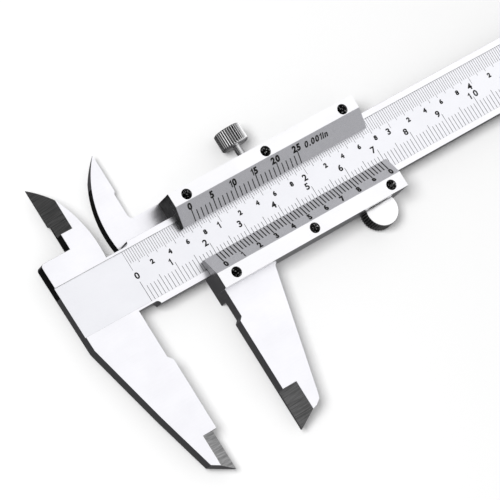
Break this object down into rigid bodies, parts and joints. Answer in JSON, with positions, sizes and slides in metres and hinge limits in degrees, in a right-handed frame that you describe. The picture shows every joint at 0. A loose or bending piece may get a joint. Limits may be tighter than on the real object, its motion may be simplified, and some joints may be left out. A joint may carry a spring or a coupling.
{
  "type": "vernier caliper",
  "caption": "Hand measuring caliper with outside and inside jaws, a sliding frame with two vernier plates, a lock screw, a thumb wheel and a depth rod.",
  "frame": {"origin": "centre of the footprint of the caliper lying on its back, with the slider at its pictured reading of 19.1 mm", "axes": "+X along the beam from the jaws to the depth rod, +Y from the beam towards the inside jaws, +Z out of the graduated face"},
  "size_m": [0.246, 0.0776, 0.0098],
  "materials": {
    "satin_steel": "satin ground stainless steel",
    "vernier_chrome": "matt chrome, darker on the sloping graduated faces",
    "black_oxide": "black oxide on steel screws and black filled graduations",
    "bright_steel": "bright turned steel",
    "spring_steel": "plain hardened steel",
    "brass": "plain brass"
  },
  "bodies": {
    "beam": {"beam": "satin_steel", "end_stop_plate": "satin_steel", "end_stop_screws": "black_oxide"},
    "slider": {"slider_frame": "satin_steel", "upper_vernier_plate": "vernier_chrome", "lower_vernier_plate": "vernier_chrome", "upper_plate_screws": "black_oxide", "lower_plate_screws": "black_oxide", "gib_strip": "brass", "gib_spring": "spring_steel", "gib_set_screws": "black_oxide", "depth_rod": "bright_steel", "rod_carrier": "satin_steel", "rod_pins": "spring_steel", "rear_cover": "satin_steel", "rear_cover_screws": "black_oxide", "wheel_axle": "spring_steel", "wheel_bracket": "spring_steel", "bracket_screws": "black_oxide"},
    "lock_screw": {"lock_screw": "bright_steel"},
    "thumb_wheel": {"thumb_wheel": "bright_steel"}
  },
  "joints": [
    {"name": "slider_travel", "type": "slide", "parent": "beam", "child": "slider", "axis": [1, 0, 0], "range_m": [-0.01908, 0.1314]},
    {"name": "lock_screw_turn", "type": "hinge", "parent": "slider", "child": "lock_screw", "pos_m": [-0.06463, 0.02715, 0.00435], "axis": [0, -1, 0], "range_deg": [-360, 60]},
    {"name": "thumb_wheel_spin", "type": "hinge", "parent": "slider", "child": "thumb_wheel", "pos_m": [-0.04118, -0.0044, 0.00295], "axis": [0, 0, 1], "continuous": true}
  ]
}
